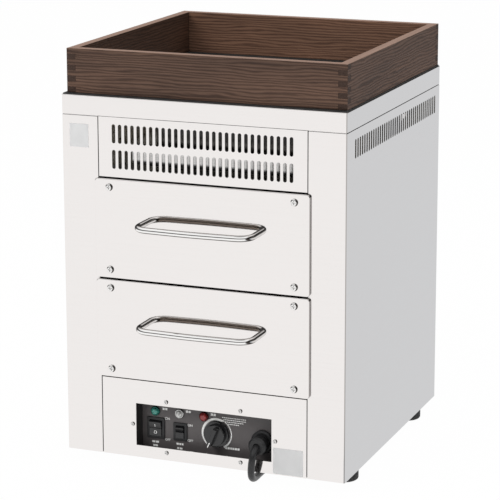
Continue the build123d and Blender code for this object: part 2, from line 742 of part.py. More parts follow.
with BuildPart() as fan_rotor:
    with BuildSketch(face_at(y_rotor)):
        with Locations((0, z_shelf)):
            Circle(fan_d / 2)
    extrude(amount=1)
    with BuildSketch(face_at(y_rotor)):
        with Locations((0, z_shelf)):
            Circle(9)
    extrude(amount=fan_t)
    with BuildSketch(face_at(y_rotor)):
        with Locations((0, z_shelf)):
            with PolarLocations(fan_d / 4 + 8, 10):
                Rectangle(fan_d / 2 - 20, 1.2, rotation=25)
    extrude(amount=fan_t)
    with BuildSketch(face_at(y_rotor)):
        with Locations((0, z_shelf)):
            Circle(fan_shaft_d / 2)
    extrude(amount=-(5 + liner + 18))
save(fan_rotor, "fan_rotor")

# ---------------------------------------------------------------- terminal block on the base
with BuildPart() as terminal_block:
    with BuildSketch(Plane.XY.offset(z_base + sheet)):
        with Locations((40, y_front + 120)):
            Rectangle(80, 26)
    extrude(amount=22)
    with BuildSketch(Plane.XY.offset(z_base + sheet + 22)):
        with Locations((40, y_front + 120)):
            with GridLocations(18, 14, 4, 2):
                Rectangle(12, 8)
    extrude(amount=-9, mode=Mode.SUBTRACT)
save(terminal_block, "terminal_block")

# ---------------------------------------------------------------- drawers
rail_x = x_cham - sheet                                   # inner face of a rail web
run_x = rail_x - slide_gap                                # outer face of a runner
box_x = run_x - runner_w                                  # outer face of the box wall
rail_y0 = y_front + lip + 1
rail_y1 = y_front + box_depth + 6
with BuildPart() as drawer_rails:
    for zc in drawer_z:
        box_z = zc - drawer_pitch / 2 + box_rise + box_wall - runner_h / 2
        for sign in (-1, 1):
            with BuildSketch(face_at(rail_y1)):
                with Locations((sign * (x_cham - (sheet + rail_leg) / 2), box_z)):
                    Rectangle(sheet + rail_leg, runner_h + 2 * slide_gap + 2 * sheet)
                with Locations((sign * (rail_x - rail_leg / 2), box_z)):
                    Rectangle(rail_leg, runner_h + 2 * slide_gap, mode=Mode.SUBTRACT)
            extrude(amount=rail_y1 - rail_y0)
save(drawer_rails, "drawer_rails")

y_skin = y_front - front_proud                            # face of the drawer fronts
y_in = y_skin + front_t                                   # back of the front sheet
y_wall = y_in + liner                                     # back of the inner front
tx = front_w / 2 - truss_inset
tz = front_h / 2 - truss_edge
truss_at = [(sx * tx, sz * tz) for sx in (-1, 1) for sz in (-1, 1)]
bolt_d = 4.0

for zc, tag in zip(drawer_z, ("upper", "lower")):
    hz = zc + handle_up
    bolt_at = [(-handle_pitch / 2, hz), (handle_pitch / 2, hz)]

    with BuildPart() as drawer_front:
        with BuildSketch(face_at(y_front)):
            with Locations((0, zc)):
                Rectangle(front_w, front_h)
            fillet(vertices(), radius=front_r)
        extrude(amount=front_proud)
        fillet(faces().group_by(Axis.Y)[0].edges(), radius=0.8)
        with BuildSketch(face_at(y_front)):
            with Locations((0, zc)):
                Rectangle(front_w - 2 * front_t, front_h - 2 * front_t)
            fillet(vertices(), radius=front_r - front_t)
        extrude(amount=front_proud - front_t, mode=Mode.SUBTRACT)
        with BuildSketch(face_at(y_in)):
            with Locations(*[(x, zc + z) for x, z in truss_at]):
                Circle(truss_shank / 2 + fit_hole)
            with Locations(*bolt_at):
                Circle(bolt_d / 2 + fit_hole)
        extrude(amount=front_t, mode=Mode.SUBTRACT)
    save(drawer_front, tag + "_drawer_front")

    z0 = zc - drawer_pitch / 2 + box_rise
    y_end = y_front + box_depth
    with BuildPart() as drawer_box:
        with BuildSketch(face_at(y_in)):
            with Locations((0, zc)):
                Rectangle(front_w - 14, front_h - 10)
        extrude(amount=-liner)
        with BuildSketch(Plane.XY.offset(z0)):
            with Locations((0, (y_in + y_end) / 2)):
                Rectangle(2 * box_x, y_end - y_in)
        extrude(amount=box_wall)
        with BuildSketch(Plane.XY.offset(z0 + liner)):
            with Locations((0, (y_wall + y_end - liner) / 2)):
                Rectangle(2 * (box_x - liner), y_end - liner - y_wall)
        extrude(amount=box_wall, mode=Mode.SUBTRACT)
        for sign in (-1, 1):
            with BuildSketch(Plane.XY.offset(z0 + box_wall - runner_h)):
                with Locations((sign * (box_x + runner_w / 2), (rail_y0 + y_end) / 2)):
                    Rectangle(runner_w, y_end - rail_y0)
            extrude(amount=runner_h)
        with BuildSketch(face_at(y_in)):
            with Locations(*[(x, zc + z) for x, z in truss_at]):
                Circle(truss_shank / 2 + fit_hole)
            with Locations(*bolt_at):
                Circle(bolt_d / 2 + fit_hole)
        extrude(amount=-liner, mode=Mode.SUBTRACT)
    save(drawer_box, tag + "_drawer_box")

    rack_x = box_x - liner - rack_edge - rack_frame / 2
    ry0 = y_wall + rack_edge + rack_frame / 2 + 4
    ry1 = y_end - liner - rack_edge - rack_frame / 2
    rz = z0 + liner + rack_up
    wires = int(2 * rack_x / rack_pitch)
    with BuildPart() as drawer_rack:
        for y in (ry0, ry1):
            with Locations(Plane(origin=(0, y, rz), z_dir=(1, 0, 0))):
                Cylinder(rack_frame / 2, 2 * rack_x)
        for x in (-rack_x, rack_x):
            with Locations(Plane(origin=(x, (ry0 + ry1) / 2, rz), z_dir=(0, 1, 0))):
                Cylinder(rack_frame / 2, ry1 - ry0)
            for y in (ry0, ry1):
                with Locations((x, y, rz)):
                    Sphere(rack_frame / 2)
                with Locations((x, y, (rz + z0 + liner) / 2)):
                    Cylinder(rack_frame / 2, rz - z0 - liner)
        for i in range(wires):
            x = (i - (wires - 1) / 2) * rack_pitch
            with Locations(Plane(origin=(x, (ry0 + ry1) / 2, rz + 0.4), z_dir=(0, 1, 0))):
                Cylinder(rack_wire / 2, ry1 - ry0)
    save(drawer_rack, tag + "_drawer_rack")

    y_bar = y_skin - handle_reach + handle_d / 2
    hx = handle_pitch / 2
    bow_r = 0.3 * hx * hx / handle_bow
    with BuildPart() as handle:
        with BuildLine():
            FilletPolyline(
                (-hx, y_skin, hz), (-hx, y_bar + handle_bow, hz), (0, y_bar, hz),
                (hx, y_bar + handle_bow, hz), (hx, y_skin, hz), radius=[handle_r, bow_r, handle_r],
            )
        with BuildSketch(Plane(origin=(-hx, y_skin, hz), z_dir=(0, -1, 0))):
            Circle(handle_d / 2)
        sweep()
        with BuildSketch(face_at(y_skin)):
            with Locations(*bolt_at):
                Circle(bolt_d / 2 + 0.1)
        extrude(amount=14, mode=Mode.SUBTRACT)
    save(handle, tag + "_handle")

    with BuildPart() as drawer_screws:
        for x, z in truss_at:
            with BuildSketch(face_at(y_skin)):
                with Locations((x, zc + z)):
                    Circle(truss_d / 2)
            extrude(amount=truss_h)
            with BuildSketch(face_at(y_skin)):
                with Locations((x, zc + z)):
                    Circle(truss_shank / 2)
            extrude(amount=-(front_t + liner + 1.5))
        fillet(faces().filter_by(Axis.Y).group_by(Axis.Y)[0].edges(), radius=truss_h * 0.8)
        with BuildSketch(face_at(y_skin - truss_h)):
            with Locations(*[(x, zc + z) for x, z in truss_at]):
                Rectangle(truss_d * 0.5, 1)
                Rectangle(1, truss_d * 0.5)
        extrude(amount=-truss_h * 0.5, mode=Mode.SUBTRACT)
        for x, z in bolt_at:
            with BuildSketch(face_at(y_wall)):
                with Locations((x, z)):
                    Circle(bolt_d)
            extrude(amount=-2.4)
            with BuildSketch(face_at(y_wall)):
                with Locations((x, z)):
                    Circle(bolt_d / 2)
            extrude(amount=liner + front_t + 10)
    save(drawer_screws, tag + "_drawer_screws")

# ---------------------------------------------------------------- warming tray, gasket, wooden frame
y_mid = (y_front + y_back) / 2
hole_dx = tray_w / (tray_hole_n + 1)
hole_dy = tray_d / (tray_hole_n + 1)
with BuildPart() as warming_tray:
    with BuildSketch(Plane.XY.offset(z_top)):
        with Locations((0, tray_dy + y_mid)):
            Rectangle(tray_w + 2 * tray_flange, tray_d + 2 * tray_flange)
        fillet(vertices(), radius=4)
    extrude(amount=liner)
    with BuildSketch(Plane.XY.offset(z_top - tray_deep)):
        with Locations((0, tray_dy + y_mid)):
            Rectangle(tray_w, tray_d)
    extrude(amount=tray_deep)
    with BuildSketch(Plane.XY.offset(z_top - tray_deep + liner)):
        with Locations((0, tray_dy + y_mid)):
            Rectangle(tray_w - 2 * liner, tray_d - 2 * liner)
    extrude(amount=tray_deep, mode=Mode.SUBTRACT)
    with BuildSketch(Plane.XY.offset(z_top - tray_deep)):
        with Locations((0, tray_dy + y_mid)):
            with GridLocations(hole_dx, hole_dy, tray_hole_n, tray_hole_n):
                Circle(tray_hole / 2)
    extrude(amount=liner, mode=Mode.SUBTRACT)
save(warming_tray, "warming_tray")

gasket_ow = cab_w - 2 * gasket_edge
gasket_od = cab_d - 2 * gasket_edge
with BuildPart() as top_gasket:
    with BuildSketch(Plane.XY.offset(z_top)):
        with Locations((0, y_mid)):
            Rectangle(gasket_ow, gasket_od)
            Rectangle(gasket_ow - 2 * gasket_w, gasket_od - 2 * gasket_w, mode=Mode.SUBTRACT)
    extrude(amount=gasket_t)
save(top_gasket, "top_gasket")

z_wood = z_top + gasket_t
finger = wood_h / finger_n
wx = wood_dx
wy = y_mid + wood_dy
for side, name in ((-1, "wood_front"), (1, "wood_back")):
    yc = wy + side * (wood_d - wood_t) / 2
    with BuildPart() as board:
        with Locations((wx, yc, z_wood + wood_h / 2)):
            Box(wood_w, wood_t, wood_h)
        for k in range(1, finger_n, 2):
            zk = z_wood + wood_h - (k + 0.5) * finger
            for sx in (-1, 1):
                with Locations((wx + sx * (wood_w - wood_t) / 2, yc, zk)):
                    Box(wood_t, wood_t, finger, mode=Mode.SUBTRACT)
    save(board, name)
for side, name in ((-1, "wood_left"), (1, "wood_right")):
    xc = wx + side * (wood_w - wood_t) / 2
    with BuildPart() as board:
        with Locations((xc, wy, z_wood + wood_h / 2)):
            Box(wood_t, wood_d, wood_h)
        for k in range(0, finger_n, 2):
            zk = z_wood + wood_h - (k + 0.5) * finger
            for sy in (-1, 1):
                with Locations((xc, wy + sy * (wood_d - wood_t) / 2, zk)):
                    Box(wood_t, wood_t, finger, mode=Mode.SUBTRACT)
    save(board, name)

# ---------------------------------------------------------------- feet and name plates
with BuildPart() as feet:
    for x, y in feet_at:
        with BuildSketch(Plane.XY):
            with Locations((x, y)):
                Circle(foot_d / 2)
        extrude(amount=foot_h)
    fillet(faces().group_by(Axis.Z)[0].edges(), radius=foot_round)
    with BuildSketch(Plane.XY):
        with Locations(*feet_at):
            Circle(foot_screw_d + 1.5)
    extrude(amount=foot_h * 0.55, mode=Mode.SUBTRACT)
    with BuildSketch(Plane.XY):
        with Locations(*feet_at):
            Circle(foot_screw_d / 2 + fit_hole)
    extrude(amount=foot_h, mode=Mode.SUBTRACT)
save(feet, "feet")

with BuildPart() as foot_screws:
    for x, y in feet_at:
        with BuildSketch(Plane.XY.offset(foot_h * 0.55)):
            with Locations((x, y)):
                Circle(foot_screw_d)
        extrude(amount=-3)
        with BuildSketch(Plane.XY.offset(foot_h * 0.55)):
            with Locations((x, y)):
                Circle(foot_screw_d / 2)
        extrude(amount=foot_h * 0.45 + sheet + 6)
        with BuildSketch(Plane.XY.offset(z_base + sheet)):
            with Locations((x, y)):
                RegularPolygon(foot_screw_d * 0.9, 6)
        extrude(amount=4)
save(foot_screws, "foot_screws")

with BuildPart() as name_plates:
    with BuildSketch(face_at(y_front)):
        with Locations((114.8, z_base + 18.2)):
            Rectangle(40, 34)
        with Locations((-166.5, z_base + 415.7)):
            Rectangle(25.8, 29.7)
    extrude(amount=0.3)
save(name_plates, "name_plates")

# ---------------------------------------------------------------- power cord, coil and plug
tie_t = 1.2                                # tie strap under and over the coil
wind = 9.9                                 # turn pitch and layer step of the coil
z_low = tie_t + cord_d / 2                 # lower layer centre
z_high = z_low + wind
coil_r = 62.0                              # outer centre radius of the coil
coil_x = -12.0
coil_y = y_back + 92.0
turns_low = 2.25                           # turns on the lower layer before the climb
turns_high = 2.25
free_end = 34.0                            # straight end that clears the coil beside the plug

k_turn = wind / (2 * pi)


def coil_state(a):
    """Radius, height and their slopes after turning through angle a."""
    a1 = 2 * pi * turns_low
    if a <= a1:
        return coil_r - k_turn * a, z_low, -k_turn, 0.0
    b = a - a1
    r1 = coil_r - k_turn * a1
    if b <= pi:
        r = r1 - k_turn * (b - b * b / pi)
        z = z_low + wind * (1 - cos(b)) / 2
        return r, z, -k_turn + 2 * k_turn * b / pi, wind * sin(b) / 2
    return r1 + k_turn * (b - pi), z_high, k_turn, 0.0


start_ang = 0.0


def coil_point(a):
    r, z, dr, dz = coil_state(a)
    t = start_ang + a
    p = Vector(coil_x + r * cos(t), coil_y + r * sin(t), z)
    d = Vector(dr * cos(t) - r * sin(t), dr * sin(t) + r * cos(t), dz).normalized()
    return p, d


def biarc(p0, t0, p1, t1):
    """Two joint tangent arcs between two points with given directions: the middle point."""
    v = p1 - p0
    t = t0 + t1
    qa = 2 * (1 - t0.dot(t1))
    qb = 2 * v.dot(t)
    qc = -v.dot(v)
    if abs(qa) < 1e-9:
        d = -qc / qb
    else:
        d = (-qb + sqrt(qb * qb - 4 * qa * qc)) / (2 * qa)
    return (p0 + t0 * d + p1 - t1 * d) * 0.5


total_ang = 2 * pi * (turns_low + turns_high) + pi
steps = int(round(total_ang / (pi / 2)))
knots = [coil_point(total_ang * i / steps) for i in range(steps + 1)]
p_in = knots[0][0] - knots[0][1] * cord_d
p_out = knots[-1][0] + knots[-1][1] * free_end
with BuildPart() as cord_coil:
    with BuildLine() as coil_line:
        Line(p_in, knots[0][0])
        for (pa, ta), (pb, tb) in zip(knots, knots[1:]):
            mid = biarc(pa, ta, pb, tb)
            first = TangentArc(pa, mid, tangent=ta)
            TangentArc(mid, pb, tangent=first % 1)
        Line(knots[-1][0], p_out)
    with BuildSketch(Plane(origin=p_in, z_dir=knots[0][1])):
        Circle(cord_d / 2)
    sweep()
coil_len = coil_line.wires()[0].length
save(cord_coil, "cord_coil")

marks = [coil_line.wires()[0].position_at(i / 600) for i in range(601)]
step_len = coil_len / 600
least = 1e9
for i in range(601):
    for j in range(i + int(3 * cord_d / step_len) + 1, 601):
        least = min(least, (marks[i] - marks[j]).length)
print("coil length", round(coil_len, 1), "least gap", round(least - cord_d, 2))
print("coil volume ratio", round(cord_coil.part.volume / (pi * cord_d ** 2 / 4 * coil_len), 4))

lead_in = knots[0][1]
floor_z = cord_d / 2
route = [
    Vector(gland_x, y_gland + gland_bore, z_gland),
    Vector(gland_x, y_front - 15.5, z_gland),
    Vector(gland_x - 5.0, y_front - 13.5, floor_z + 0.2),
    Vector(gland_x - 8.0, y_front + 42, floor_z),
    Vector(gland_x - 2.0, y_front + 140, floor_z),
    Vector(gland_x - 14.0, y_front + 255, floor_z),
    Vector(gland_x - 16.0, y_front + 350, floor_z),
    p_in - lead_in * 60,
    p_in,
]
radii = []
for i in range(1, len(route) - 1):
    u = route[i] - route[i - 1]
    v = route[i + 1] - route[i]
    half = radians(u.get_angle(v)) / 2
    radii.append(0.45 * min(u.length, v.length) / tan(half))
radii[0] = 9.5           # the tight first bend at the gland
radii[1] = 19.5          # the turn under the cabinet
print("cord radii", [round(r, 1) for r in radii])
with BuildPart() as power_cord:
    with BuildLine() as cord_line:
        FilletPolyline(*route, radius=radii)
    with BuildSketch(Plane(origin=route[0], z_dir=route[1] - route[0])):
        Circle(cord_d / 2)
    sweep()
cord_len = cord_line.wires()[0].length
print("cord length", round(cord_len, 1), "volume ratio",
      round(power_cord.part.volume / (pi * cord_d ** 2 / 4 * cord_len), 4))
save(power_cord, "power_cord")

# tie round the turns on the far side of the coil
tie_ang = radians(120)
r_low = coil_r - wind * (turns_low + 0.75)
tie_in = r_low - cord_d / 2 - 2.2
tie_out = coil_r + cord_d / 2 + 1.2
tie_h = z_high + cord_d / 2 + tie_t + 0.2
tie_dir = Vector(cos(tie_ang), sin(tie_ang), 0)
tie_mid = Vector(coil_x, coil_y, 0) + tie_dir * ((tie_in + tie_out) / 2)
tie_plane = Plane(origin=tie_mid, x_dir=tie_dir, z_dir=(sin(tie_ang), -cos(tie_ang), 0))
with BuildPart() as cord_tie:
    with BuildSketch(tie_plane):
        with Locations((0, tie_h / 2)):
            Rectangle(tie_out - tie_in + 2 * tie_t, tie_h)
        with Locations((0, tie_h / 2)):
            Rectangle(tie_out - tie_in, tie_h - 2 * tie_t, mode=Mode.SUBTRACT)
    extrude(amount=4, both=True)
save(cord_tie, "cord_tie")

# moulded plug at the free end of the coil
out_dir = knots[-1][1]
plug_w = 26.0
plug_h = 2 * z_high
plug_l = 38.0
pin_l = 17.0
plug_plane = Plane(origin=p_out, x_dir=Vector(0, 0, 1).cross(out_dir), z_dir=out_dir)
with BuildPart() as plug:
    with BuildSketch(plug_plane):
        Circle(cord_d / 2 + 1)
    with BuildSketch(plug_plane.offset(14)):
        RectangleRounded(cord_d + 7, cord_d + 7, 5)
    loft()
    with BuildSketch(plug_plane.offset(14)):
        RectangleRounded(plug_w, plug_h, 7)
    extrude(amount=plug_l - 14)
    fillet(faces().filter_by(lambda f: abs(f.normal_at().dot(out_dir)) > 0.99).edges().filter_by(
        lambda e: abs((e.center() - p_out).dot(out_dir) - plug_l) < 0.1), radius=1.5)
    with BuildSketch(plug_plane.offset(plug_l)):
        with Locations((-6.35, 0), (6.35, 0)):
            Rectangle(1.5, 6.3)
    extrude(amount=pin_l)
save(plug, "plug")
print("whole cord", round(coil_len + cord_len + plug_l, 0))
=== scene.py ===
"""Electric drawer roaster in a plain studio: metres, +Z up, the front faces -Y."""
import math

import bmesh
import bpy
from mathutils import Matrix, Vector


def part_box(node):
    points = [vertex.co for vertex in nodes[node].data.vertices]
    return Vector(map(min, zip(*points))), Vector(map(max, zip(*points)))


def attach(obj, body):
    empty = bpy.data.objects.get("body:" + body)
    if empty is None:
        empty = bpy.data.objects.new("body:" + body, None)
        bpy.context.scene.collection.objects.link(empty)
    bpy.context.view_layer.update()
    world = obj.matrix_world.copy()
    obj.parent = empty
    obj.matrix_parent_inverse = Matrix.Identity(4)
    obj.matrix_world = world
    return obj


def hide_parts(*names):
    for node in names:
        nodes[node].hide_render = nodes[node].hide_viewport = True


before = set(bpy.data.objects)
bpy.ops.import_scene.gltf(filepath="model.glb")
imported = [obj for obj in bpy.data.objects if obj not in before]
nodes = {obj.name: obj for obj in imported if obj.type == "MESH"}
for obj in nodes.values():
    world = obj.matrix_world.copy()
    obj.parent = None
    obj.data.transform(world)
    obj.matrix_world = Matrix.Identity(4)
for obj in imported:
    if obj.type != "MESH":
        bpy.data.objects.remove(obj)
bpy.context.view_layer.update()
MM = 0.001
TAU = 2 * math.pi
scene = bpy.context.scene

# ------------------------------------------------------------------ places from the frame
PLATE_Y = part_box("control_plate")[0].y
FACE_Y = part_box("fascia")[0].y
BASE_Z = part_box("base_plate")[0].z


# ------------------------------------------------------------------ mesh helpers
def on_plate(x, z, proud=0.0):
    """A point on the control plate, x and z in mm from the middle and the body's lower edge."""
    return Vector((x * MM, PLATE_Y - proud * MM, BASE_Z + z * MM))


def add_mesh(name, verts, faces, mat, body):
    """A flat-shaded piece that rides on a body."""
    mesh = bpy.data.meshes.new(name)
    mesh.from_pydata([tuple(v) for v in verts], [], faces)
    mesh.update()
    bm = bmesh.new()
    bm.from_mesh(mesh)
    bmesh.ops.recalc_face_normals(bm, faces=bm.faces)
    bm.to_mesh(mesh)
    bm.free()
    for poly in mesh.polygons:
        poly.use_smooth = False
    obj = bpy.data.objects.new(name, mesh)
    scene.collection.objects.link(obj)
    obj.data.materials.append(mat)
    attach(obj, body)
    return obj


def strip(name, outer, inner, depth, mat, body, slot, closed=False):
    """A thin raised band between two lines of points in an XZ plane, depth towards +Y."""
    n = len(outer)
    verts = list(outer) + list(inner)
    back = Vector((0, depth, 0))
    verts += [v + back for v in verts]
    faces = []
    last = n if closed else n - 1
    for i in range(last):
        j = (i + 1) % n
        faces.append((i, j, n + j, n + i))
        faces.append((2 * n + i, 3 * n + i, 3 * n + j, 2 * n + j))
        faces.append((i, 2 * n + i, 2 * n + j, j))
        faces.append((n + i, n + j, 3 * n + j, 3 * n + i))
    if not closed:
        faces.append((0, n, 3 * n, 2 * n))
        faces.append((n - 1, 3 * n - 1, 4 * n - 1, 2 * n - 1))
    return add_mesh(name, verts, faces, mat, body)


# ------------------------------------------------------------------ shader node helpers
def grey(value):
    return (value, value, value)


FULL = grey(1)


def new_mat(name):
    mat = bpy.data.materials.new(name)
    mat.use_nodes = True
    tree = mat.node_tree
    return mat, tree, tree.nodes["Principled BSDF"]


def coords(tree, scale=(1, 1, 1)):
    """The object's own coordinates, scaled along each axis."""
    tc = tree.nodes.new("ShaderNodeTexCoord")
    mp = tree.nodes.new("ShaderNodeMapping")
    mp.inputs["Scale"].default_value = scale
    tree.links.new(tc.outputs["Object"], mp.inputs["Vector"])
    return mp.outputs["Vector"]


def geometry(tree, output):
    """X, Y and Z of one of the surface's geometry vectors."""
    geo = tree.nodes.new("ShaderNodeNewGeometry")
    sep = tree.nodes.new("ShaderNodeSeparateXYZ")
    tree.links.new(geo.outputs[output], sep.inputs["Vector"])
    return sep.outputs


def noise(tree, vec, scale, detail=3.0, rough=0.5):
    n = tree.nodes.new("ShaderNodeTexNoise")
    n.inputs["Scale"].default_value = scale
    n.inputs["Detail"].default_value = detail
    n.inputs["Roughness"].default_value = rough
    tree.links.new(vec, n.inputs["Vector"])
    return n.outputs["Fac"]


def ramp(tree, fac, stops):
    """A colour for each value of fac, from (place, colour) stops."""
    r = tree.nodes.new("ShaderNodeValToRGB")
    while len(r.color_ramp.elements) < len(stops):
        r.color_ramp.elements.new(0.5)
    for el, (pos, col) in zip(r.color_ramp.elements, stops):
        el.position = pos
        el.color = (*col, 1)
    tree.links.new(fac, r.inputs["Fac"])
    return r.outputs["Color"]


def map_range(tree, value, source=(0.0, 1.0), target=(0.0, 1.0), smooth=False):
    """A value carried from the source range to the target range, and held at its ends."""
    m = tree.nodes.new("ShaderNodeMapRange")
    if smooth:
        m.interpolation_type = "SMOOTHSTEP"
    for key, ends in (("From", source), ("To", target)):
        m.inputs[key + " Min"].default_value, m.inputs[key + " Max"].default_value = ends
    tree.links.new(value, m.inputs["Value"])
    return m.outputs["Result"]


def calculate(tree, operation, *values):
    """One sum of sockets or plain numbers."""
    m = tree.nodes.new("ShaderNodeMath")
    m.operation = operation
    for socket, value in zip(m.inputs, values):
        if isinstance(value, float):
            socket.default_value = value
        else:
            tree.links.new(value, socket)
    return m.outputs["Value"]


def multiply(tree, a, b, amount=1.0):
    mix = tree.nodes.new("ShaderNodeMix")
    mix.data_type = "RGBA"
    mix.blend_type = "MULTIPLY"
    mix.inputs["Factor"].default_value = amount
    tree.links.new(a, mix.inputs["A"])
    tree.links.new(b, mix.inputs["B"])
    return mix.outputs["Result"]


def over(tree, amount, a, b):
    """Colour b laid over colour a, where amount is 1."""
    mix = tree.nodes.new("ShaderNodeMix")
    mix.data_type = "RGBA"
    tree.links.new(amount, mix.inputs["Factor"])
    tree.links.new(a, mix.inputs["A"])
    tree.links.new(b, mix.inputs["B"])
    return mix.outputs["Result"]


def bump(tree, bsdf, height, strength, distance):
    b = tree.nodes.new("ShaderNodeBump")
    b.inputs["Strength"].default_value = strength
    b.inputs["Distance"].default_value = distance
    tree.links.new(height, b.inputs["Height"])
    tree.links.new(b.outputs["Normal"], bsdf.inputs["Normal"])


def crevice(tree, color, reach, depth=0.03):
    """Darken a colour in narrow gaps, where little light gets in."""
    ao = tree.nodes.new("ShaderNodeAmbientOcclusion")
    ao.samples = 4
    ao.inputs["Distance"].default_value = reach
    shade = ramp(tree, ao.outputs["AO"], [(0.30, grey(depth)), (0.52, FULL)])
    return multiply(tree, color, shade)


def painted_right_reflection(tree, color, stops):
    """Tone a colour by how far the surface turns to the right, with a painted reflection of the
    dark studio on that side.
    """
    return multiply(tree, color, ramp(tree, geometry(tree, "Normal")["X"], stops))


# ------------------------------------------------------------------ kinds of material
def steel(name, tone, rough, spread, hair=(14, 14, 900), waviness=0.0, gaps=0.0, turn=None):
    """Satin stainless sheet: fine hairlines along the sheet and a faint unevenness, with painted
    shade in narrow gaps (gaps) and a painted reflection on surfaces turned to the right (turn).
    """
    mat, tree, bsdf = new_mat(name)
    bsdf.inputs["Metallic"].default_value = 1.0
    lines = noise(tree, coords(tree, hair), 1.0, 4.0, 0.6)
    dark = tuple(c * 0.985 for c in tone)
    base = ramp(tree, lines, [(0.3, dark), (0.7, tone)])
    if gaps:
        base = crevice(tree, base, gaps)
    if turn:
        base = painted_right_reflection(tree, base, turn)
    tree.links.new(base, bsdf.inputs["Base Color"])
    uneven = map_range(tree, lines, target=(rough - spread, rough + spread))
    tree.links.new(uneven, bsdf.inputs["Roughness"])
    if waviness:
        soft = noise(tree, coords(tree, (3, 3, 2)), 1.6, 1.0, 0.4)
        bump(tree, bsdf, soft, waviness, 0.004)
    return mat


def rod(name, tone):
    """Polished rod with painted reflections: the dark room below darkens its underside and its
    ends, and the side of the door is tinted warm.
    """
    mat = steel(name, tone, 0.035, 0.008, hair=(60, 60, 60))
    tree = mat.node_tree
    bsdf = tree.nodes["Principled BSDF"]
    base = bsdf.inputs["Base Color"].links[0].from_socket
    normal = geometry(tree, "Normal")
    # Painted reflection by the surface's direction: dark below and at the ends, dimmed on top,
    # warm on the side of the door.
    dark, warm = (0.07, 0.06, 0.055), (0.20, 0.175, 0.155)
    for axis, stops in (
        ("Z", [(0.0, dark), (0.17, dark), (0.22, (0.55, 0.54, 0.53)), (0.30, FULL),
               (0.92, FULL), (0.97, (0.45, 0.43, 0.42))]),
        ("X", [(0.0, dark), (0.13, dark), (0.17, FULL), (0.80, FULL),
               (0.84, dark), (0.90, dark), (0.93, grey(0.8))]),
        ("Y", [(0.75, FULL), (0.81, warm)]),
    ):
        place = map_range(tree, normal[axis], source=(-1.0, 1.0))
        base = multiply(tree, base, ramp(tree, place, stops))
    tree.links.new(base, bsdf.inputs["Base Color"])
    return mat


def by_place(name, axis, lo, hi, stops, rough):
    """Metal whose tone changes in steps along an axis, between lo and hi in metres."""
    mat, tree, bsdf = new_mat(name)
    place = map_range(tree, geometry(tree, "Position")[axis], source=(lo, hi))
    tree.links.new(ramp(tree, place, stops), bsdf.inputs["Base Color"])
    bsdf.inputs["Metallic"].default_value = 1.0
    bsdf.inputs["Roughness"].default_value = rough
    return mat


def plain(name, tone, rough, grain=0.0, scale=900, coat=0.0, vary=0.12):
    """Moulded or painted surface with a fine grain and slight colour variation."""
    mat, tree, bsdf = new_mat(name)
    cloud = noise(tree, coords(tree), 60, 3.0, 0.5)
    low = tuple(c * (1 - vary) for c in tone)
    high = tuple(min(1.0, c * (1 + vary)) for c in tone)
    tree.links.new(ramp(tree, cloud, [(0.3, low), (0.7, high)]), bsdf.inputs["Base Color"])
    uneven = map_range(tree, cloud, target=(rough * 0.88, rough * 1.12))
    tree.links.new(uneven, bsdf.inputs["Roughness"])
    if coat:
        bsdf.inputs["Coat Weight"].default_value = coat
        bsdf.inputs["Coat Roughness"].default_value = 0.08
    if grain:
        bump(tree, bsdf, noise(tree, coords(tree), scale, 2.0, 0.5), grain, 0.0004)
    return mat


def lens(name, tone):
    """Pilot lamp's faceted plastic, unlit."""
    mat, tree, bsdf = new_mat(name)
    bsdf.inputs["Roughness"].default_value = 0.08
    bsdf.inputs["Coat Weight"].default_value = 0.6
    facets = noise(tree, coords(tree), 420, 1.0, 0.5)
    low = tuple(c * 0.45 for c in tone)
    tree.links.new(ramp(tree, facets, [(0.35, low), (0.65, tone)]), bsdf.inputs["Base Color"])
    bump(tree, bsdf, facets, 0.35, 0.0008)
    return mat


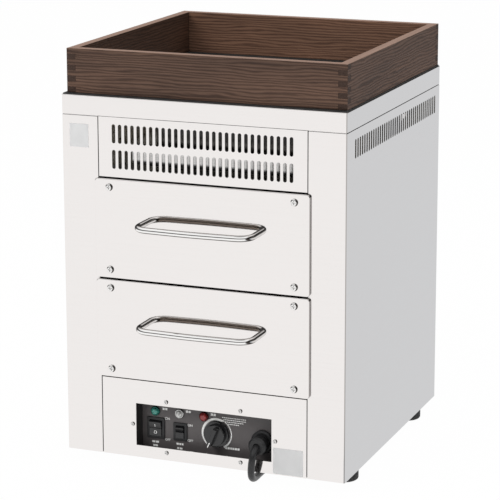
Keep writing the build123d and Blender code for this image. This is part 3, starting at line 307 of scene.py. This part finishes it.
def scorched_wood(name, along, inside=None):
    """Scorched softwood: fine wavy grain along the board, a lighter tan on faces turned upwards,
    dark end grain.

    inside is the axis and sign that the board's inner face looks along, and that face's painted
    shading, a factor on its colour.
    """
    mat, tree, bsdf = new_mat(name)

    def stretched(length, across):
        return coords(tree, [length if axis == along else across for axis in "xyz"])

    wave = tree.nodes.new("ShaderNodeTexWave")
    wave.wave_type = "BANDS"
    wave.bands_direction = "Z"
    wave.inputs["Scale"].default_value = 25.0
    wave.inputs["Distortion"].default_value = 11.0
    wave.inputs["Detail"].default_value = 3.0
    wave.inputs["Detail Scale"].default_value = 0.9
    wave.inputs["Detail Roughness"].default_value = 0.5
    tree.links.new(stretched(0.45, 3.2), wave.inputs["Vector"])
    fibre = noise(tree, stretched(7, 520), 1.0, 4.0, 0.6)
    cloud = noise(tree, stretched(5, 20), 1.0, 2.0, 0.5)
    grain = ramp(tree, wave.outputs["Fac"], [
        (0.0, (0.062, 0.035, 0.025)), (0.4, (0.100, 0.057, 0.040)), (1.0, (0.132, 0.078, 0.055)),
    ])
    streaks = ramp(tree, fibre, [(0.3, (0.72, 0.71, 0.70)), (0.65, (1.08, 1.07, 1.06))])
    patches = ramp(tree, cloud, [(0.3, grey(0.80)), (0.7, (1.12, 1.10, 1.08))])
    board = multiply(tree, multiply(tree, grain, streaks, 0.8), patches)

    normal = geometry(tree, "True Normal")
    if inside:
        axis, sign, painted_shading = inside
        inner = map_range(tree, normal[axis], source=(0.5 * sign, 0.9 * sign))
        board = multiply(tree, board, ramp(tree, inner, [(0, FULL), (1, painted_shading)]))
    end = ramp(tree, fibre, [(0.3, (0.036, 0.020, 0.014)), (0.7, (0.058, 0.034, 0.025))])
    endways = calculate(tree, "ABSOLUTE", normal[along.upper()])
    board = over(tree, map_range(tree, endways, source=(0.7, 0.95)), board, end)
    tan = ramp(tree, fibre, [(0.3, (0.20, 0.122, 0.090)), (0.7, (0.30, 0.195, 0.150))])
    board = over(tree, map_range(tree, normal["Z"], source=(0.6, 0.95)), board, tan)
    # Painted shade in the narrow gaps between and around the boards.
    board = crevice(tree, board, 0.003, 0.25)
    tree.links.new(board, bsdf.inputs["Base Color"])
    tree.links.new(map_range(tree, fibre, target=(0.5, 0.72)), bsdf.inputs["Roughness"])
    bsdf.inputs["Specular IOR Level"].default_value = 0.3
    relief = calculate(tree, "ADD", wave.outputs["Fac"], fibre)
    bump(tree, bsdf, relief, 0.3, 0.0005)
    return mat


# ------------------------------------------------------------------ the materials
# gaps is the reach of the painted shade in the sheets' seams and slots.
SHEET = {
    "tone": (0.865, 0.835, 0.820), "rough": 0.055, "spread": 0.010, "waviness": 0.010,
    "gaps": 0.004,
}
# Surfaces turned partly to the right, such as rounded corners, get a painted reflection that
# darkens them.
STEEL = steel("steel_satin", **SHEET, turn=[
    (0.25, FULL), (0.38, (0.45, 0.44, 0.43)), (0.75, (0.50, 0.49, 0.48)), (0.88, FULL),
])
# The drawer fronts' right-facing surfaces get a darker painted reflection.
FRONT = steel("steel_front", **SHEET, turn=[
    (0.25, FULL), (0.45, (0.62, 0.61, 0.60)), (1.0, (0.42, 0.41, 0.41)),
])
INNER = steel("steel_inner", (0.60, 0.60, 0.59), 0.32, 0.08)
# The duct seen through the vent slots is toned in bands along its height: near-black painted
# shade, with a painted lit band and a dim grey band between.
DUCT_LIT = (0.75, 0.74, 0.73)
DUCT = by_place("duct_steel", "Z", BASE_Z + 0.378, BASE_Z + 0.428, [
    (0.0, grey(0.03)), (0.10, grey(0.03)), (0.16, DUCT_LIT), (0.46, DUCT_LIT),
    (0.50, grey(0.04)), (0.62, (0.16, 0.155, 0.15)), (0.95, grey(0.05)),
], 0.22)
CHROME = rod("chrome", (0.92, 0.91, 0.90))
BEZEL_GREEN, BEZEL_PLAIN, BEZEL_RED = (0.03, 0.13, 0.11), (0.62, 0.62, 0.61), (0.12, 0.02, 0.02)
BEZEL = by_place("lamp_bezel", "X", -0.09, 0.01, [
    (0.0, BEZEL_GREEN), (0.32, BEZEL_GREEN), (0.34, BEZEL_PLAIN), (0.65, BEZEL_PLAIN),
    (0.67, BEZEL_RED), (1.0, BEZEL_RED),
], 0.22)
# Screw heads: painted shade in the cross recess, and a painted dark reflection where they turn to
# the right.
SCREW = steel(
    "screw_steel", (0.84, 0.83, 0.82), 0.10, 0.02, hair=(200, 200, 200), gaps=0.0008,
    turn=[(0.18, FULL), (0.34, (0.05, 0.045, 0.04)), (0.9, (0.16, 0.15, 0.14))],
)
HEATER = steel("heater_sheath", (0.34, 0.32, 0.30), 0.4, 0.08, hair=(90, 90, 90))
BLACK_STEEL = plain("black_paint", (0.018, 0.017, 0.017), 0.5, grain=0.2)
PLATE = plain("plate_print", (0.100, 0.090, 0.090), 0.38, grain=0.1, vary=0.05)
PLASTIC = plain("black_plastic", (0.016, 0.016, 0.017), 0.42, grain=0.25)
GLOSS = plain("gloss_black", (0.010, 0.010, 0.011), 0.2, coat=0.3, vary=0.05)
RUBBER = plain("rubber", grey(0.020), 0.6, grain=0.3)
CORD = plain("cord_sheath", (0.014, 0.014, 0.015), 0.36, grain=0.12)
WOOL = plain("insulation_wool", (0.70, 0.67, 0.58), 0.95, grain=0.9, scale=260)
LABEL = plain("label_film", grey(0.66), 0.35, vary=0.03)
WHITE = plain("white_print", (0.96, 0.96, 0.94), 0.5, vary=0.02)
GREEN = lens("green_lens", (0.05, 0.36, 0.29))
CLEAR = lens("clear_lens", (0.80, 0.80, 0.78))
RED = lens("red_lens", (0.40, 0.03, 0.03))
WOOD_X = scorched_wood("wood_grain_x", "x")
WOOD_Y = scorched_wood("wood_grain_y", "y")
# The back board's inner face is painted lighter and the left board's inner face darker, as painted
# light and shade.
WOOD_BACK = scorched_wood("wood_back_grain", "x", ("Y", -1, (1.50, 1.38, 1.26)))
WOOD_LEFT = scorched_wood("wood_left_grain", "y", ("X", 1, (0.50, 0.42, 0.36)))

LOOK = {
    "side_panel_left": STEEL, "side_panel_right": STEEL, "back_panel": STEEL,
    "top_cap": STEEL, "vent_panel": STEEL, "fascia": STEEL,
    "upper_drawer_front": FRONT, "lower_drawer_front": FRONT,
    "base_plate": INNER, "vent_duct": DUCT,
    "chamber_left": INNER, "chamber_right": INNER, "chamber_back": INNER,
    "chamber_roof": INNER, "chamber_floor": INNER, "mid_shelf": INNER,
    "drawer_rails": INNER, "upper_drawer_box": INNER, "lower_drawer_box": INNER,
    "warming_tray": INNER,
    "upper_handle": CHROME, "lower_handle": CHROME,
    "upper_drawer_rack": CHROME, "lower_drawer_rack": CHROME,
    "upper_drawer_screws": SCREW, "lower_drawer_screws": SCREW, "fascia_screws": SCREW,
    "back_screws": SCREW, "foot_screws": SCREW,
    "lamp_bezels": BEZEL,
    "heater_upper": HEATER, "heater_middle": HEATER, "heater_lower": HEATER,
    "fan_rotor": INNER, "control_box": BLACK_STEEL, "control_plate": PLATE,
    "power_switch": PLASTIC, "fan_switch": PLASTIC, "timer_body": PLASTIC,
    "cord_gland": PLASTIC, "terminal_block": PLASTIC, "plug": PLASTIC,
    "fan_motor": PLASTIC, "cord_tie": PLASTIC,
    "power_rocker": GLOSS, "fan_rocker": GLOSS, "timer_knob": GLOSS,
    "lamp_green": GREEN, "lamp_clear": CLEAR, "lamp_red": RED,
    "wood_front": WOOD_X, "wood_back": WOOD_BACK, "wood_left": WOOD_LEFT, "wood_right": WOOD_Y,
    "feet": RUBBER, "top_gasket": RUBBER, "insulation": WOOL, "name_plates": LABEL,
}
ROUNDED = {  # width of the softened edges, in mm
    "wood_front": 0.35, "wood_back": 0.35, "wood_left": 0.35, "wood_right": 0.35,
    "lamp_bezels": 0.15, "power_rocker": 0.25, "fan_rocker": 0.25,
}
for name, mat in LOOK.items():
    obj = nodes[name]
    if obj.data.materials:
        for i in range(len(obj.data.materials)):
            obj.data.materials[i] = mat
    else:
        obj.data.materials.append(mat)
    if name in ROUNDED:
        weld = obj.modifiers.new("weld", "WELD")
        weld.merge_threshold = 1e-5
        bevel = obj.modifiers.new("bevel", "BEVEL")
        bevel.width = ROUNDED[name] * MM
        bevel.segments = 2
        bevel.limit_method = "ANGLE"
        bevel.angle_limit = math.radians(50)

# ------------------------------------------------------------------ power cord, repeated route, mm
CORD_D = 9.0
FLOOR_Z = CORD_D / 2  # centre line of a cord on the floor
FASCIA_Y = FACE_Y / MM
CABINET_D = 385.0
GLAND = (73.8, PLATE_Y / MM - 24.0, BASE_Z / MM + 34.3)
GLAND_HOLD = 8.0  # length of cord held in the gland
WIND = 9.9  # distance between neighbouring turns, and between the two layers
TIE_T = 1.2
COIL_Z = TIE_T + FLOOR_Z
COIL_R = 62.0
COIL_AT = (-12.0, FASCIA_Y + CABINET_D + 92.0)
TURNS = 2.25  # turns of each layer
LEAD_IN = 60.0  # straight run before the coil
FREE_END = 34.0
PER_TURN = 16
K = WIND / TAU
LAYER = TAU * TURNS  # angle of one layer


def coil_at(a):
    """Centre-line point of the coil after turning through angle a."""
    b = a - LAYER
    r, z = COIL_R - K * a, COIL_Z
    if b > math.pi:
        r, z = COIL_R - K * LAYER + K * (b - math.pi), COIL_Z + WIND
    elif b > 0:
        r = COIL_R - K * LAYER - K * (b - b * b / math.pi)
        z = COIL_Z + WIND * (1 - math.cos(b)) / 2
    return Vector((COIL_AT[0] + r * math.cos(a), COIL_AT[1] + r * math.sin(a), z))


lead = Vector((-K, COIL_R, 0)).normalized()
coil_start = coil_at(0) - lead * CORD_D
route = [
    Vector((GLAND[0], GLAND[1] + GLAND_HOLD, GLAND[2])),
    Vector((GLAND[0], FASCIA_Y - 15.5, GLAND[2])),
    Vector((GLAND[0] - 5.0, FASCIA_Y - 13.5, FLOOR_Z + 0.2)),
    Vector((GLAND[0] - 8.0, FASCIA_Y + 42, FLOOR_Z)),
    Vector((GLAND[0] - 2.0, FASCIA_Y + 140, FLOOR_Z)),
    Vector((GLAND[0] - 14.0, FASCIA_Y + 255, FLOOR_Z)),
    Vector((GLAND[0] - 16.0, FASCIA_Y + 350, FLOOR_Z)),
    coil_start - lead * LEAD_IN,
    coil_start,
]
coil_angle = 2 * LAYER + math.pi
count = int(round(coil_angle / TAU * PER_TURN))
swell = 1 / math.sqrt(math.cos(math.pi / PER_TURN))  # the spline cuts inside its points
for i in range(count + 1):
    p = coil_at(coil_angle * i / count)
    p.x = COIL_AT[0] + (p.x - COIL_AT[0]) * swell
    p.y = COIL_AT[1] + (p.y - COIL_AT[1]) * swell
    route.append(p)
end = coil_at(coil_angle)
end_dir = Vector((K, COIL_R, 0)).normalized()
route.append(end + end_dir * FREE_END * 0.5)
route.append(end + end_dir * FREE_END)
curve = bpy.data.curves.new("supply_cord", "CURVE")
curve.dimensions = "3D"
spline = curve.splines.new("NURBS")
spline.points.add(len(route) - 1)
for pt, p in zip(spline.points, route):
    pt.co = (*(p * MM), 1)
spline.order_u = 3
spline.use_endpoint_u = True
spline.resolution_u = 10
curve.bevel_depth = CORD_D / 2 * MM
curve.bevel_resolution = 6
curve.use_fill_caps = True
cord = bpy.data.objects.new("supply_cord", curve)
scene.collection.objects.link(cord)
curve.materials.append(CORD)
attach(cord, "cabinet")
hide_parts("power_cord", "cord_coil")

# ------------------------------------------------------------------ printing on the control plate
KNOB = (10.5, 36.9)
PRINT = 0.12  # how far the printing stands proud, in mm
PRINT_T = PRINT * MM * 0.9
SCALE_R = 20.8
SCALE_WIDTHS = [  # clock angle and width in mm: a wedge on the left, a tail on the right
    (-150, 0.7), (-75, 3.9), (15, 3.9), (30, 0.8), (90, 1.2), (150, 2.8),
]


def clock(angle, radius):
    """Point on the plate at a clock angle in degrees, clockwise from the top, round the knob."""
    a = math.radians(angle)
    return on_plate(KNOB[0] + radius * math.sin(a), KNOB[1] + radius * math.cos(a), PRINT)


def scale_width(angle):
    """Width of the timer's printed ring at a clock angle, in mm."""
    for (a, wide_a), (b, wide_b) in zip(SCALE_WIDTHS, SCALE_WIDTHS[1:]):
        if angle <= b:
            break
    return wide_a + (wide_b - wide_a) * (angle - a) / (b - a)


angles = range(-150, 151, 3)
strip(
    "timer_scale", [clock(a, SCALE_R) for a in angles],
    [clock(a, SCALE_R - scale_width(a)) for a in angles],
    PRINT_T, WHITE, "cabinet", "blank_label",
)


def words(name, text, x, z):
    """A printed ON or OFF, with its middle at x, z."""
    data = bpy.data.curves.new(name, "FONT")
    data.body = text
    data.size = 4.4 * MM
    data.align_x = "CENTER"
    data.align_y = "CENTER"
    data.extrude = 0.05 * MM
    data.offset = 0.01 * MM
    obj = bpy.data.objects.new(name, data)
    scene.collection.objects.link(obj)
    obj.location = on_plate(x, z, PRINT)
    obj.rotation_euler = (math.pi / 2, 0, 0)
    data.materials.append(WHITE)
    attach(obj, "cabinet")


def dashes(name, x, z, widths, high, gap=0.7):
    """A row of short plain printed bars, from x to the right."""
    verts, faces = [], []
    for width in widths:
        b = len(verts)
        for across, up in ((0, -1), (1, -1), (1, 1), (0, 1)):
            verts.append(on_plate(x + across * width, z + up * high / 2, PRINT))
        faces.append((b, b + 1, b + 2, b + 3))
        x += width + gap
    obj = add_mesh(name, verts, faces, WHITE, "cabinet")
    thick = obj.modifiers.new("thick", "SOLIDIFY")
    thick.thickness = PRINT_T
    thick.offset = -1 if obj.data.polygons[0].normal.y < 0 else 1


words("power_on_word", "ON", -57.8, 48.9)
words("power_off_word", "OFF", -57.6, 20.6)
words("fan_on_word", "ON", -26.2, 43.4)
words("fan_off_word", "OFF", -26.0, 22.9)
dashes("power_caption", -79.5, 16.1, [4.2, 4.4], 2.6, 0.8)
dashes("power_caption_low", -78.0, 11.2, [6.4], 2.4)
dashes("fan_caption", -45.5, 16.8, [3.2, 2.6, 2.2], 2.4, 0.8)
dashes("fan_caption_low", -44.6, 11.0, [2.6, 4.0], 2.4, 0.8)
for name, x in (("green_caption", -64.5), ("clear_caption", -32.0), ("red_caption", 2.6)):
    dashes(name, x, 61.6, [3.0, 3.0], 3.0)
for k, marks in enumerate((13, 12, 10, 7)):
    widths = [1.5 + 0.5 * ((i * 7 + k * 3) % 3) for i in range(marks)]
    dashes("note_line_%d" % k, 18.0 + 2.0 * k, 59.6 - 2.7 * k, widths, 1.1, 0.6)
dashes("timer_caption", 22.0, 19.4, [2.8, 2.8, 2.2, 2.4, 3.0, 3.0], 2.8)

# ------------------------------------------------------------------ marks on the power rocker
ROCKER_AT = (-73.6, 35.4)
ROCKER_PIN = 1.0  # depth of its pin behind the plate, in mm
ROCKER_TILT = 8  # degrees at rest
ROCKER_NOSE = 9.5  # height of each half, in mm
NOSE_LOW, NOSE_HIGH = 4.2, 5.6  # how far each half's two edges stand before the pin
BAR_H, BAR_W = 4.0, 0.7
RING_OUT, RING_IN = 2.1, 1.5
pin = on_plate(*ROCKER_AT) + Vector((0, ROCKER_PIN * MM, 0))
tilt = Matrix.Rotation(math.radians(ROCKER_TILT), 4, "X")


def rocker_mark(part, sign, outer, inner, closed):
    """A white mark in the middle of the rocker's upper (sign 1) or lower (-1) half."""
    obj = strip(
        "power_key_mark_" + part, [v * MM for v in outer], [v * MM for v in inner], 0.05 * MM,
        WHITE, "power_key", "blank_label", closed,
    )
    middle = Vector((0, -((NOSE_LOW + NOSE_HIGH) / 2 + 0.06) * MM, sign * ROCKER_NOSE / 2 * MM))
    lean = math.atan2(NOSE_HIGH - NOSE_LOW, ROCKER_NOSE) * sign
    place = Matrix.Translation(pin) @ tilt @ Matrix.Translation(middle)
    obj.data.transform(place @ Matrix.Rotation(lean, 4, "X"))


bar = [[Vector((side * BAR_W / 2, 0, end * BAR_H / 2)) for end in (1, -1)] for side in (-1, 1)]
rocker_mark("on", 1, *bar, False)
round_28 = [Vector((math.sin(TAU * i / 28), 0, math.cos(TAU * i / 28))) for i in range(28)]
rocker_mark("off", -1, [v * RING_OUT for v in round_28], [v * RING_IN for v in round_28], True)

# ------------------------------------------------------------------ pointer on the knob
POINTER_AT = 180 + 22.5  # clock angle at rest
KNOB_FACE = 18.12  # height of the mark above the plate, in mm
POINTER_R = (7.5, 14.6)
POINTER_W = 1.0
tip = math.radians(POINTER_AT)
tip_dir = Vector((math.sin(tip), 0, math.cos(tip)))
across = Vector((math.cos(tip), 0, -math.sin(tip)))
centre = on_plate(*KNOB, KNOB_FACE)
sides = [
    [centre + (tip_dir * r + across * side * POINTER_W / 2) * MM for r in POINTER_R]
    for side in (-1, 1)
]
strip("knob_pointer_mark", *sides, 0.1 * MM, WHITE, "knob", "blank_label")


# ------------------------------------------------------------------ floor and reflected card
def stage_plane(name, size, loc, mat):
    """A level sheet that isn't part of the object."""
    mesh = bpy.data.meshes.new(name)
    x, y = size[0] / 2, size[1] / 2
    mesh.from_pydata([(-x, -y, 0), (x, -y, 0), (x, y, 0), (-x, y, 0)], [], [(0, 1, 2, 3)])
    obj = bpy.data.objects.new(name, mesh)
    scene.collection.objects.link(obj)
    obj.location = loc
    mesh.materials.append(mat)
    return obj


def seen_or_reflected(tree):
    """1 for camera, glossy and transmission rays."""
    path = tree.nodes.new("ShaderNodeLightPath").outputs
    seen = calculate(tree, "MAXIMUM", path["Is Camera Ray"], path["Is Glossy Ray"])
    return calculate(tree, "MAXIMUM", seen, path["Is Transmission Ray"])


FLOOR_GLOW = 0.985  # share of plain white in what the camera sees of the floor
GLOW_NEAR, GLOW_FAR = 3.0, 4.6  # distances between which the reflected floor darkens
GLOW_LEAST = 0.10
floor_mat, tree, bsdf = new_mat("floor_paper")
bsdf.inputs["Base Color"].default_value = (*grey(0.86), 1)
bsdf.inputs["Roughness"].default_value = 0.9
bsdf.inputs["Specular IOR Level"].default_value = 0.0
glow = tree.nodes.new("ShaderNodeEmission")
glow.inputs["Color"].default_value = (1, 1, 1, 1)
paper = tree.nodes.new("ShaderNodeNewGeometry")
reach = tree.nodes.new("ShaderNodeVectorMath")
reach.operation = "LENGTH"
tree.links.new(paper.outputs["Position"], reach.inputs[0])
fade = map_range(
    tree, reach.outputs["Value"], (GLOW_NEAR, GLOW_FAR), (1.0, GLOW_LEAST), smooth=True,
)
eye = tree.nodes.new("ShaderNodeLightPath").outputs["Is Camera Ray"]
tree.links.new(calculate(tree, "MAXIMUM", eye, fade), glow.inputs["Strength"])
mixer = tree.nodes.new("ShaderNodeMixShader")
amount = calculate(tree, "MULTIPLY", seen_or_reflected(tree), FLOOR_GLOW)
tree.links.new(amount, mixer.inputs["Fac"])
tree.links.new(bsdf.outputs["BSDF"], mixer.inputs[1])
tree.links.new(glow.outputs["Emission"], mixer.inputs[2])
tree.links.new(mixer.outputs["Shader"], tree.nodes["Material Output"].inputs["Surface"])
stage_plane("floor", (40, 40), (0, 0, -0.0003), floor_mat)

# ------------------------------------------------------------------ world
WORLD_LEVEL = 0.55
world = bpy.data.worlds.new("studio")
scene.world = world
world.use_nodes = True
sky = world.node_tree
back = sky.nodes["Background"]
view_dir = sky.nodes.new("ShaderNodeTexCoord")
parts = sky.nodes.new("ShaderNodeSeparateXYZ")
sky.links.new(view_dir.outputs["Generated"], parts.inputs["Vector"])
dome = ramp(sky, parts.outputs["Z"], [  # what shiny surfaces see, by height
    (0.0, grey(0.10)), (0.34, grey(0.05)), (0.42, grey(0.70)), (0.62, FULL),
    (0.90, FULL), (0.97, grey(0.45)),
])
shine = sky.nodes.new("ShaderNodeMix")
shine.data_type = "RGBA"
glossy = sky.nodes.new("ShaderNodeLightPath").outputs["Is Glossy Ray"]
sky.links.new(glossy, shine.inputs["Factor"])
shine.inputs["A"].default_value = (1, 1, 1, 1)
sky.links.new(dome, shine.inputs["B"])
sky.links.new(shine.outputs["Result"], back.inputs["Color"])
level = map_range(sky, seen_or_reflected(sky), target=(WORLD_LEVEL, 1.0))
sky.links.new(level, back.inputs["Strength"])


def card(name, size, loc, tone):
    """A grey board that only shiny surfaces see."""
    mat, tree, _ = new_mat(name)
    light = tree.nodes.new("ShaderNodeEmission")
    light.inputs["Color"].default_value = (*tone, 1)
    surface = tree.nodes["Material Output"].inputs["Surface"]
    tree.links.new(light.outputs["Emission"], surface)
    obj = stage_plane(name, size, loc, mat)
    obj.visible_camera = False
    obj.visible_diffuse = False
    obj.visible_shadow = False
    obj.visible_transmission = False


card("side_card", (3.24, 5.0), (1.812, 2.2, 0.001), (0.685, 0.705, 0.725))

# ------------------------------------------------------------------ lamps
LAMP_TARGET = Vector((0, 0, 0.28))


def lamp(name, loc, size, power):
    """A soft box aimed at the object, left out of reflections."""
    data = bpy.data.lights.new(name, "AREA")
    data.shape = "RECTANGLE"
    data.size, data.size_y = size
    data.energy = power
    obj = bpy.data.objects.new(name, data)
    scene.collection.objects.link(obj)
    obj.location = loc
    aim = LAMP_TARGET - Vector(loc)
    obj.rotation_euler = aim.to_track_quat("-Z", "Y").to_euler()
    obj.visible_glossy = False


lamp("key", (-1.3, -2.2, 2.2), (1.6, 1.2), 42)
lamp("fill", (2.6, -1.0, 1.4), (1.4, 1.4), 10)
lamp("top", (0.2, 0.2, 2.6), (1.6, 1.6), 22)

# ------------------------------------------------------------------ camera
SIDE_PX = 500
SENSOR_MM = 36
FOCAL_PX, CENTRE_Y = 2199.04, 190  # focal length and the optical centre's height in the picture
EYE = Vector((1.02901, FACE_Y - 2.45139, BASE_Z + 0.93648))
YAW, PITCH, ROLL = (math.radians(a) for a in (21.4763, 12.2801, -0.1145))
cam_data = bpy.data.cameras.new("camera")
cam_data.sensor_width = SENSOR_MM
cam_data.lens = FOCAL_PX / SIDE_PX * SENSOR_MM
cam_data.shift_y = -(SIDE_PX / 2 - CENTRE_Y) / SIDE_PX
cam_data.clip_end = 60
cam = bpy.data.objects.new("camera", cam_data)
scene.collection.objects.link(cam)
forward = Vector((
    -math.sin(YAW) * math.cos(PITCH), math.cos(YAW) * math.cos(PITCH), -math.sin(PITCH),
))
level_right = Vector((math.cos(YAW), math.sin(YAW), 0))
level_up = level_right.cross(forward)
cam_right = level_right * math.cos(ROLL) + level_up * math.sin(ROLL)
cam_up = -level_right * math.sin(ROLL) + level_up * math.cos(ROLL)
turn = Matrix((cam_right, cam_up, -forward)).transposed().to_4x4()
cam.matrix_world = Matrix.Translation(EYE) @ turn
scene.camera = cam
scene.view_settings.view_transform = "Standard"
